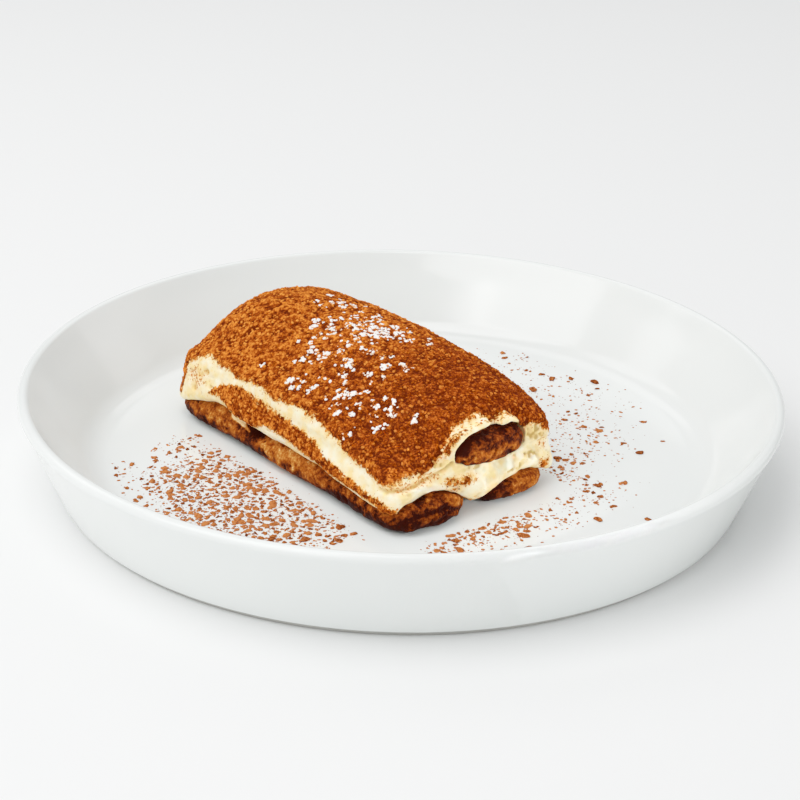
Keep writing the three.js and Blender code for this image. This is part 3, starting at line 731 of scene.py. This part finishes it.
def dusted_cream():
    """Cream and cocoa in one finish: the stored cover, broken up by noise, says which shows."""
    finish, tree, place = new_finish("dusted_cream")
    fray = noise(place, 950, detail=3, roughness=0.7)
    frayed = maths("MULTIPLY_ADD", fray, 4.0, stored(tree, "cover"))
    share = remapped(frayed, 1.7, 2.5)
    grain = noise(place, 1500, detail=2, roughness=0.7)
    tone = maths("MULTIPLY_ADD", stored(tree, "clot"), 0.24, grain)
    cocoa = ramp(remapped(tone, 0.22, 0.78), [
        (0.15, COCOA_DARK), (0.5, COCOA_RUST), (0.9, COCOA_ORANGE)])
    butter = noise(place, 260, detail=3)
    cream = ramp(butter, [(0.38, CREAM_YELLOW), (0.66, CREAM_WHITE)])
    # Painted olive shade in the pores, holes, folds and crease, and where the cream is thin.
    hollow_shade = rising(stored(tree, "hollow_shade"), 0.1, 1.0, most=0.85)
    cream = mixed(hollow_shade, cream, CREAM_SHADE_OLIVE)
    dust = stored(tree, "dust")
    cream = mixed(maths("MULTIPLY", dust, 0.32), cream, COCOA_THIN)
    speck = noise(place, 1300, detail=2, roughness=0.6)
    specked = maths("MULTIPLY_ADD", dust, 0.28, speck)
    cream = mixed(rising(specked, 0.70, 0.80), cream, COCOA_SPECK)
    thin = mixed(rising(share, 0.0, 0.5), cream, COCOA_THIN)
    colour = mixed(rising(share, 0.4, 0.9), thin, cocoa)
    surface(colour, remapped(share, first=0.42, last=0.95),
            maths("MULTIPLY", grain, share), strength=0.7, depth=0.5, others={
                "Subsurface Weight": remapped(share, first=0.35, last=0.0),
                "Subsurface Radius": (1.0, 0.7, 0.35), "Subsurface Scale": 0.002,
                "Specular IOR Level": 0.05})
    return finish


cream = joined_creams()
finely_meshed(cream, CREAM_GRAIN)
thin_hidden(cream)
cream_relief(cream)
dress(cream, dusted_cream())
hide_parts("cream_middle", "cream_top")
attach(cream, "root")


# ---- Cocoa on the coat ----
# Cocoa powder sifted over the cream in loose grains and tiny clots. They lie on the cream by their
# own weight, and stick where it is damp.
GRAINS_PER_MM2 = 0.95
# Sizes are drawn to this power, so that most grains are small.
MOSTLY_SMALL = 2.2


def sprinkler():
    """Scatters uneven lumps over a mesh, as thickly as its stored share says."""
    tree = bpy.data.node_groups.new("sprinkler", "GeometryNodeTree")
    tree.interface.new_socket(name="Ground", in_out="INPUT", socket_type="NodeSocketGeometry")
    tree.interface.new_socket(name="Lumps", in_out="OUTPUT", socket_type="NodeSocketGeometry")
    kinds = {
        "Most per mm2": "Float", "Spacing": "Float", "Smallest": "Float", "Largest": "Float",
        "Longest": "Float", "Flatness": "Float", "Unevenness": "Float", "Sunk": "Float",
        "Facets": "Int", "Seed": "Int", "Finish": "Material"}
    sockets = {name: tree.interface.new_socket(
        name=name, in_out="INPUT", socket_type="NodeSocket" + kind).identifier
        for name, kind in kinds.items()}
    given = add(tree, "NodeGroupInput").outputs
    share, grain_darkening = (add(tree, "GeometryNodeInputNamedAttribute", {"Name": name}, data_type="FLOAT"
                       ).outputs["Attribute"] for name in ("share", "grain_darkening"))
    most = maths("MULTIPLY", given["Most per mm2"], MM**-2)
    spots = add(tree, "GeometryNodeDistributePointsOnFaces", {
        "Mesh": given["Ground"], "Distance Min": given["Spacing"], "Density Max": most,
        "Density Factor": share, "Seed": given["Seed"]},
        distribute_method="POISSON")
    spin = add(tree, "FunctionNodeRandomValue", {
        0: (0, 0, 0), 1: (0, 0, 2 * math.pi), 8: given["Seed"]}, data_type="FLOAT_VECTOR")
    turn = add(tree, "FunctionNodeEulerToRotation", {"Euler": spin.outputs[0]})
    laid = add(tree, "FunctionNodeRotateRotation", {
        "Rotation": spots.outputs["Rotation"], "Rotate By": turn.outputs[0]}, rotation_space="LOCAL")
    draw = add(tree, "FunctionNodeRandomValue", {2: 0.0, 3: 1.0, 8: given["Seed"]},
               data_type="FLOAT").outputs[1]
    size = remapped(maths("POWER", draw, MOSTLY_SMALL),
                    first=given["Smallest"], last=given["Largest"])
    longest = add(tree, "ShaderNodeCombineXYZ", {
        "X": given["Longest"], "Y": 1.0, "Z": given["Flatness"]}).outputs[0]
    shape = add(tree, "FunctionNodeRandomValue", {0: (0.8, 0.7, 0.15), 1: longest, 8: given["Seed"]},
                data_type="FLOAT_VECTOR").outputs[0]
    scale = add(tree, "ShaderNodeVectorMath", {0: shape, "Scale": size}, operation="SCALE")
    lump = add(tree, "GeometryNodeMeshIcoSphere", {"Radius": MM, "Subdivisions": given["Facets"]})
    lumps = add(tree, "GeometryNodeInstanceOnPoints", {
        "Points": spots.outputs["Points"], "Instance": lump.outputs["Mesh"],
        "Rotation": laid.outputs[0], "Scale": scale.outputs[0]})
    toned = add(tree, "GeometryNodeStoreNamedAttribute", {
        "Geometry": lumps.outputs[0], "Name": "tone",
        "Value": maths("SUBTRACT", draw, grain_darkening)},
        data_type="FLOAT", domain="INSTANCE")
    real = add(tree, "GeometryNodeRealizeInstances", {"Geometry": toned.outputs[0]})
    place = add(tree, "GeometryNodeInputPosition").outputs[0]
    dents = noise(place, 1500.0, detail=2.0)
    dent = maths("SUBTRACT", dents, given["Sunk"])
    dent = maths("MULTIPLY", dent, given["Unevenness"])
    outwards = add(tree, "GeometryNodeInputNormal").outputs[0]
    moved = add(tree, "ShaderNodeVectorMath", {0: outwards, "Scale": dent}, operation="SCALE")
    uneven = add(tree, "GeometryNodeSetPosition", {
        "Geometry": real.outputs[0], "Offset": moved.outputs[0]})
    finished = add(tree, "GeometryNodeSetMaterial", {
        "Geometry": uneven.outputs[0], "Material": given["Finish"]})
    add(tree, "NodeGroupOutput", {"Lumps": finished.outputs[0]})
    return tree, sockets


sprinkle_tree, sprinkle_sockets = sprinkler()


def sprinkled(name, ground, **settings):
    """A plain mesh of lumps scattered over a ground mesh, which it takes for its own. The lumps'
    sizes are in mm, and their spacing and unevenness in metres."""
    piece = in_scene(name, ground)
    scatter = piece.modifiers.new("scatter", "NODES")
    scatter.node_group = sprinkle_tree
    for key, value in settings.items():
        scatter[sprinkle_sockets[key.replace("_", " ").capitalize()]] = value
    make_plain(piece)
    return piece


POWDER_DARK = (0.12, 0.015, 0.001)
POWDER_BROWN = (0.38, 0.075, 0.005)
POWDER_ORANGE = (0.86, 0.29, 0.052)


def cocoa_powder(name, dark, middle, light, mottle):
    """Dry powder whose grains each keep one tone, broken up by as much `mottle` as stated."""
    finish, tree, place = new_finish(name)
    speckle = noise(place, 1600, detail=2)
    level = maths("MULTIPLY_ADD", speckle, mottle, stored(tree, "tone"))
    level = remapped(level, mottle / 2 - 0.1, mottle / 2 + 0.95)
    colour = ramp(level, [(0.0, dark), (0.5, middle), (1.0, light)])
    surface(colour, remapped(speckle, first=0.85, last=1.0), speckle,
            strength=0.5, depth=0.3, others={"Specular IOR Level": 0.0})
    return finish


def store_powder(mesh, share, darkening):
    """Keeps how thickly powder lies on each point of a mesh, and how much its grains darken."""
    store(mesh, "share", share)
    store(mesh, "grain_darkening", darkening)


ground = cream.data.copy()
cream_places, cream_normals = points_of(cream)
powder_share = climb(-0.6, 0.6, cocoa_cover(cream_places)) * (cream_normals[:, 2] > -0.2)
powder_share *= 0.55 + 0.45 * climb(-0.3, 0.4, lumpiness(cream_places, 2.0, 120))
# Grains darker towards the front of the coat.
store_powder(ground, powder_share, 0.3 * climb(10, -40, cream_places[:, 1]))
coat_grains = sprinkled(
    "cocoa_grains", ground, most_per_mm2=GRAINS_PER_MM2, smallest=0.22, largest=0.52,
    longest=1.5, flatness=0.8, unevenness=0.3 * MM, sunk=0.4, facets=1, seed=5,
    finish=cocoa_powder("cocoa_powder", POWDER_DARK, POWDER_BROWN, POWDER_ORANGE, mottle=0.7))
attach(coat_grains, "root")


# ---- Sugar on the coat ----
# Damp icing sugar dropped over the cocoa in a loose drift across the coat's left shoulder. It lies
# in small clots of grains, a few of them long.

# The larger clots, each as x, y, half length and half width in mm; their length runs across.
SUGAR_CLOTS = [
    (12.2, -5.4, 2.3, 0.8), (-4.0, -19.0, 2.2, 0.8), (-21.7, -6.7, 2.2, 0.7),
    (12.7, 24.2, 1.2, 0.8), (10.9, 20.6, 1.2, 0.9), (6.4, 28.3, 0.9, 0.6), (14.5, 31.7, 1.0, 0.6),
    (2.9, 4.3, 1.3, 0.9), (2.7, 0.4, 1.0, 0.8), (9.8, -1.0, 1.6, 0.9), (11.3, 6.6, 1.2, 0.8),
    (-4.6, -1.6, 1.2, 0.7), (-9.5, -8.2, 1.2, 0.7), (-9.7, 1.0, 1.0, 0.7), (-15.5, 7.1, 1.0, 0.6),
    (-22.9, 16.9, 0.8, 0.6), (-17.2, -19.6, 1.3, 0.8), (-12.4, -29.0, 0.8, 1.1),
    (-24.2, -21.6, 1.1, 0.6), (-21.0, -35.8, 1.6, 0.6), (6.8, 1.6, 1.4, 0.8)]
# The lumps fused to the coat have edges shorter than LUMP_EDGE. Blobs are strewn up to
# SLICE_REACH from the slice's middle along x and y.
LUMP_EDGE, SLICE_REACH = 2.2, 60.0
SUGAR_WHITE = (0.91, 0.89, 0.86)
SUGAR_CREAMY = (0.86, 0.76, 0.66)
SUGAR_DUSTY = (0.84, 0.50, 0.28)
# How the finer flecks spread, each drift as x, y, its reach and how thickly it lies.
SUGAR_DRIFTS = [
    (8, -1, 7, 0.9), (12, 22, 6, 0.35), (9, 9, 6, 0.6), (-3, 12, 7, 0.5), (-2, 0, 6, 0.5),
    (-12, 4, 6, 0.35), (-13, -9, 7, 0.35), (-19, -19, 7, 0.35), (-18, -32, 7, 0.28),
    (-4, -17, 6, 0.2), (14, -12, 5, 0.25), (-21, 0, 4, 0.35), (-2, -7, 5, 0.3), (-25, -27, 4, 0.22)]


def icing_sugar():
    """Fine white crystals, creamy where they lie thin and brown where cocoa has caught them."""
    finish, tree, place = new_finish("icing_sugar")
    grain = noise(place, 1800, detail=2)
    clean = maths("MULTIPLY_ADD", grain, 0.4, stored(tree, "tone"))
    colour = ramp(clean, [(0.0, SUGAR_DUSTY), (0.22, SUGAR_CREAMY), (0.5, SUGAR_WHITE)])
    surface(colour, remapped(grain, first=0.6, last=0.85), grain, strength=0.4, depth=0.2)
    return finish


def sugar_drift(x, y):
    """The chance of a fleck at each place of the coat."""
    thick = np.zeros(len(x))
    for middle_x, middle_y, spread, thickness in SUGAR_DRIFTS:
        drift = mound(x, y, (middle_x, middle_y, spread, spread))
        thick = np.maximum(thick, thickness * drift)
    return thick * (thick > 0.08)


def nearest(places, spots):
    """Which of some spots lies nearest to each place, and how far off it is."""
    tree = KDTree(len(spots))
    for number, spot in enumerate(spots):
        tree.insert(spot, number)
    tree.balance()
    numbers, gaps = zip(*(tree.find(place)[1:] for place in places))
    return np.array(numbers), np.array(gaps)


def flat(x, y):
    """Places on the plane z = 0."""
    return np.stack([x, y, np.zeros(len(x))], axis=1)


def blobs(x, y, pitch, smallest, largest, seed, chance_at):
    """How deep each place lies in blobs strewn `pitch` mm apart, 1 at their middles, 0 at their
    edges; `chance_at` gives a blob's chance at its place."""
    draws = np.random.default_rng(seed)
    lines = np.arange(-SLICE_REACH, SLICE_REACH, pitch)
    middles = np.stack(np.meshgrid(lines, lines), axis=-1).reshape(-1, 2)
    middles += draws.uniform(-0.38, 0.38, middles.shape) * pitch
    size = smallest + (largest - smallest) * draws.random(len(middles)) ** 1.5
    stretch = draws.uniform(1.0, 1.9, len(middles))
    turn = draws.uniform(0, math.pi, len(middles))
    kept = draws.random(len(middles)) < chance_at(*middles.T)
    middles, size, stretch, turn = middles[kept], size[kept], stretch[kept], turn[kept]
    near = nearest(flat(x, y), flat(*middles.T))[0]
    off_x, off_y = x - middles[near, 0], y - middles[near, 1]
    lengthwise = off_x * np.cos(turn[near]) + off_y * np.sin(turn[near])
    sideways = off_y * np.cos(turn[near]) - off_x * np.sin(turn[near])
    away = np.hypot(lengthwise / stretch[near], sideways) / size[near]
    return 1 - away - 0.16 * lumpiness(flat(x, y), 1.0, seed + 1)


def sugar_depth(places, normals):
    """How deep each point of the coat lies in flecks of sugar, 0 at their edges."""
    x, y, z = places.T
    depth = blobs(x, y, 2.3, 0.45, 0.9, 150, sugar_drift)
    depth = np.maximum(depth, blobs(x, y, 1.7, 0.25, 0.45, 160, sugar_drift) - 0.2)
    wander = lumpiness(places, 1.2, 140)
    for clot in SUGAR_CLOTS:
        depth = np.maximum(depth, 1 - oval_reach(x, y, clot) - 0.3 * wander)
    depth = np.maximum(depth, 0.3 - nearest(places, sugar_lumps())[1] - 0.2 * wander)
    return np.where((normals[:, 2] > 0.1) & (z > 24), depth, -1)


def sugar_lumps():
    """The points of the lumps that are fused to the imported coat, known by their short edges."""
    shell = merged_solid("cream_top")
    places = [np.array(point.co) / MM - SLICE_MIDDLE for point in shell.verts
              if max(edge.calc_length() for edge in point.link_edges) < LUMP_EDGE * MM]
    shell.free()
    return np.array(places)


ground = cream.data.copy()
sugar_depths = sugar_depth(cream_places, cream_normals)
store_powder(ground, climb(-0.15, 0.15, sugar_depths), 0.5 * climb(0.5, 0.05, sugar_depths))
sugar = sprinkled(
    "icing_sugar", ground, most_per_mm2=4.1, smallest=0.18, largest=0.46, longest=1.7,
    flatness=0.8, unevenness=0.4 * MM, sunk=0.3, facets=2, seed=9, finish=icing_sugar())
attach(sugar, "root")


# ---- Cocoa on the plate ----
# Cocoa that fell wide of the slice lies on the glaze in soft lumps and finer specks. It lies
# thickest in a drift left of the slice and thins out in front of it and to its right.

# Each drift: x and y on the plate, how far it spreads along each, and the share that it covers.
DRIFTS = [
    (-60, -1, 21, 31, 0.46), (-48, 38, 13, 9, 0.16), (-78, 34, 9, 9, 0.1), (-16, -54, 22, 9, 0.32),
    (14, -54, 18, 11, 0.13), (25, -44, 8, 7, 0.24), (37, -34, 9, 8, 0.12), (50, -16, 13, 15, 0.045),
    (68, 18, 18, 34, 0.008), (84, 33, 5, 4, 0.16)]
# Specks spread further than the lumps do, in drifts of their own.
FINE_DRIFTS = DRIFTS + [(46, -24, 17, 20, 0.14), (64, 8, 19, 38, 0.06), (0, -58, 34, 11, 0.14)]
# One line of lumps, from one place to another.
STREAK = ((-74, -6), (-70.5, -17))
# The plate stays clean this far round the slice, and lumps lie no further out than LUMP_REACH.
CLEAR_STRIP, LUMP_REACH = 2.8, 87.5
# Where a drift covers this share or more, lumps lie as close together as they can.
FULL_COVER = 0.42
slice_low, slice_high = np.array(cream_low) / MM, np.array(cream_high) / MM


def drift_cover(x, y, drifts=DRIFTS):
    """The share of the plate's floor that fallen cocoa covers at each place."""
    total = np.zeros(len(x))
    for *oval, thickness in drifts:
        total = np.maximum(total, thickness * np.exp(-0.5 * oval_reach(x, y, oval) ** 6))
    off_slice = np.maximum(np.maximum(slice_low[0] - x, x - slice_high[0] + 3),
                           np.maximum(slice_low[1] - 2 - y, y - slice_high[1]))
    return total * climb(CLEAR_STRIP - 1, CLEAR_STRIP + 3, off_slice)


def plate_floor_ground(share_at, step):
    """A flat grid over the plate's floor that stores how thickly cocoa lies."""
    lines = np.arange(-FLOOR_RADIUS, FLOOR_RADIUS + 0.1, step)
    x, y = (grid.ravel() for grid in np.meshgrid(lines, lines))
    count = len(lines)
    cells = [(j * count + i, j * count + i + 1, (j + 1) * count + i + 1, (j + 1) * count + i)
             for j in range(count - 1) for i in range(count - 1)]
    mesh = bpy.data.meshes.new("plate_floor")
    mesh.from_pydata([(a * MM, b * MM, FLOOR_Z * MM) for a, b in zip(x, y)], [], cells)
    store_powder(mesh, share_at(x, y) * (np.hypot(x, y) < FLOOR_RADIUS - 1), np.zeros(len(x)))
    return mesh


def clump_share(x, y):
    """How thickly lumps lie: as the drifts do, and all along one streak."""
    streak = climb(1.2, 0.8, off_segment(x, y, *STREAK))
    return np.maximum(np.minimum(drift_cover(x, y) / FULL_COVER, 1), streak)


def fused_lumps():
    """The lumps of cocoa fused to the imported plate's floor, cut free, rounded and closed."""
    piece = solid_copy("plate", "fallen_cocoa_lumps")
    shell = bmesh.new()
    shell.from_mesh(piece.data)
    middles = ((face, face.calc_center_median() / MM) for face in shell.faces)
    spare = [face for face, middle in middles
             if middle.z < FLOOR_Z + 0.03 or middle.xy.length > LUMP_REACH]
    bmesh.ops.delete(shell, geom=spare, context="FACES")
    bmesh.ops.holes_fill(shell, edges=shell.edges)
    bmesh.ops.recalc_face_normals(shell, faces=shell.faces)
    shell.to_mesh(piece.data)
    shell.free()
    round_off(piece)
    make_plain(piece)
    places = points_of(piece)[0]
    places[:, 2] += 0.2 * lumpiness(places, 0.8, 210) * (places[:, 2] > FLOOR_Z + 0.2) - 0.05
    places[:, 0] += 0.35 * lumpiness(places, 0.9, 212)
    places[:, 1] += 0.35 * lumpiness(places, 0.9, 213)
    move_points(piece, places)
    store(piece.data, "tone", 0.35 + 0.3 * lumpiness(places, 4.0, 211))
    return piece


FALLEN_DARK = (0.15, 0.036, 0.010)
FALLEN_BROWN = (0.34, 0.095, 0.026)
FALLEN_ORANGE = (0.52, 0.18, 0.058)
fallen_powder = cocoa_powder("fallen_powder", FALLEN_DARK, FALLEN_BROWN, FALLEN_ORANGE, mottle=2.6)
lumps = fused_lumps()
dress(lumps, fallen_powder)
clumps = sprinkled(
    "fallen_cocoa_clumps", plate_floor_ground(clump_share, step=1.0), most_per_mm2=1.2,
    spacing=2.2 * MM, smallest=0.6, largest=1.3, longest=1.6, flatness=0.6, unevenness=2.0 * MM,
    sunk=0.5, facets=2, seed=3, finish=fallen_powder)
fine_ground = plate_floor_ground(lambda x, y: drift_cover(x, y, FINE_DRIFTS), step=2.0)
specks = sprinkled(
    "fallen_cocoa_specks", fine_ground, most_per_mm2=2.6, smallest=0.13, largest=0.62,
    longest=1.5, flatness=0.6, unevenness=0.1 * MM, sunk=0.4, facets=1, seed=4, finish=fallen_powder)
for piece in (lumps, clumps, specks):
    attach(piece, "root")


# ---- Stage ----
# A wide sheet of pale matt board, on which the plate stands unfixed. Large soft studio lamps light
# it from the left and above, and the camera looks down on it from in front.
FLOOR_REACH = 3000
corners = [(a * FLOOR_REACH, b * FLOOR_REACH, 0) for a, b in ((-1, -1), (1, -1), (1, 1), (-1, 1))]
floor = new_piece("floor", corners, [(0, 1, 2, 3)])
floor_finish = bpy.data.materials.new("pale_floor")
floor_finish.use_nodes = True
matt = floor_finish.node_tree.nodes["Principled BSDF"]
matt.inputs["Base Color"].default_value = (0.86, 0.865, 0.86, 1)
matt.inputs["Roughness"].default_value = 0.9
dress(floor, floor_finish)

VIEW_AZIMUTH, VIEW_ELEVATION, VIEW_ROLL = -40.16, 23.98, 1.345
CAMERA_PLACE = (-0.3597, -0.42564, 0.27016)


def turn_towards(azimuth, elevation, roll=0.0):
    """The turn of a camera or lamp that looks at the plate from an azimuth and elevation."""
    return (Matrix.Rotation(math.radians(azimuth), 3, "Z")
            @ Matrix.Rotation(math.radians(90 - elevation), 3, "X")
            @ Matrix.Rotation(math.radians(roll), 3, "Z"))


camera = in_scene("camera", bpy.data.cameras.new("camera"))
camera.data.lens = 90
camera.data.sensor_width = 36
camera.data.clip_end = 20
camera.matrix_world = Matrix.Translation(CAMERA_PLACE) @ turn_towards(
    VIEW_AZIMUTH, VIEW_ELEVATION, VIEW_ROLL).to_4x4()
bpy.context.scene.camera = camera

# Each lamp: azimuth and elevation from the plate, width, height and watts, then the degrees that
# its light spreads over and the place in mm that it is aimed at. The last one fills the front end.
LAMP_DISTANCE = 1.3
OPEN, NARROW = (180, (0, 0, 0)), (4, (-9, -46, 22))
LAMPS = {
    "key": (-88, 46, 1.2, 0.6, 5.2, *OPEN),
    "top": (-105, 74, 0.8, 0.8, 5.0, *OPEN),
    "front": (-60, 20, 1.4, 0.5, 1.6, *OPEN),
    "back": (140, 45, 0.6, 0.6, 1.1, *OPEN),
    "right": (65, 20, 1.2, 0.5, 1.2, *OPEN),
    "left": (-160, 42, 0.6, 0.6, 1.4, *OPEN),
    "face": (-5, 30, 0.06, 0.06, 0.006, *NARROW),
}
for name, (azimuth, elevation, width, height, watts, spread, aim) in LAMPS.items():
    light = bpy.data.lights.new(name, "AREA")
    light.shape = "RECTANGLE"
    light.size, light.size_y = width, height
    light.spread = math.radians(spread)
    light.energy = watts
    turn = turn_towards(azimuth, elevation)
    place = Vector(aim) * MM + turn @ Vector((0, 0, LAMP_DISTANCE))
    in_scene(name, light).matrix_world = Matrix.Translation(place) @ turn.to_4x4()

world = bpy.data.worlds.new("studio")
world.use_nodes = True
background = world.node_tree.nodes["Background"]
background.inputs["Color"].default_value = (0.98, 0.99, 1, 1)
background.inputs["Strength"].default_value = 0.48
bpy.context.scene.world = world
# The picture is printed bright, with its highlights held together by a soft shoulder.
view = bpy.context.scene.view_settings
view.view_transform = "Standard"
view.use_curve_mapping = True
SHOULDER, SHOULDER_END = [(0.25, 0.335), (0.5, 0.60), (0.75, 0.80)], (1.0, 0.95)
shoulder = view.curve_mapping.curves[3]
shoulder.points[-1].location = SHOULDER_END
for spot in SHOULDER:
    shoulder.points.new(*spot)
view.curve_mapping.update()
